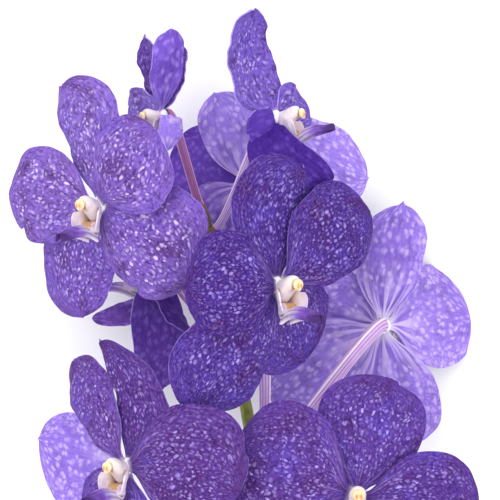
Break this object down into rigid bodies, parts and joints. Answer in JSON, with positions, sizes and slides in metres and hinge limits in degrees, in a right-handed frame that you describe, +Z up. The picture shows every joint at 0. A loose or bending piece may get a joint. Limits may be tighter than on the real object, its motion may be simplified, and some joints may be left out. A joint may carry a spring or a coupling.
{
  "type": "cut vanda orchid",
  "caption": "Cut flowering stem of a blue-violet orchid lying on its side: broad waved sepals and petals, white columns, ridged violet lips, ridged stalks and small bracts.",
  "frame": {"origin": "on the surface that the stem lies on, under the middle of its whole box", "axes": "+Y runs along the stem from its cut end to its tip, +X to the right as one looks down on it, +Z up from the surface"},
  "size_m": [0.1949, 0.4338, 0.1136],
  "materials": {
    "tepal": "waxy satin",
    "lip": "satin",
    "column": "waxy satin",
    "anther_cap": "satin",
    "pedicel": "satin",
    "stem": "satin"
  },
  "bodies": {
    "root": {"stem": "stem", "bloom_a_pedicel": "pedicel", "bloom_a_tepals": "tepal", "bloom_a_column": "column", "bloom_a_anther_cap": "anther_cap", "bloom_a_lip": "lip", "bloom_b_pedicel": "pedicel", "bloom_b_tepals": "tepal", "bloom_b_column": "column", "bloom_b_anther_cap": "anther_cap", "bloom_b_lip": "lip", "bloom_c_pedicel": "pedicel", "bloom_c_tepals": "tepal", "bloom_c_column": "column", "bloom_c_anther_cap": "anther_cap", "bloom_c_lip": "lip", "bloom_d_pedicel": "pedicel", "bloom_d_tepals": "tepal", "bloom_d_column": "column", "bloom_d_anther_cap": "anther_cap", "bloom_d_lip": "lip", "bloom_e_pedicel": "pedicel", "bloom_e_tepals": "tepal", "bloom_e_column": "column", "bloom_e_anther_cap": "anther_cap", "bloom_e_lip": "lip", "bloom_f_pedicel": "pedicel", "bloom_f_tepals": "tepal", "bloom_f_column": "column", "bloom_f_anther_cap": "anther_cap", "bloom_f_lip": "lip", "bloom_g_pedicel": "pedicel", "bloom_g_tepals": "tepal", "bloom_g_column": "column", "bloom_g_anther_cap": "anther_cap", "bloom_g_lip": "lip", "bloom_h_pedicel": "pedicel", "bloom_h_tepals": "tepal", "bloom_h_column": "column", "bloom_h_anther_cap": "anther_cap", "bloom_h_lip": "lip", "bloom_i_pedicel": "pedicel", "bloom_i_tepals": "tepal", "bloom_i_column": "column", "bloom_i_anther_cap": "anther_cap", "bloom_i_lip": "lip"}
  },
  "joints": []
}
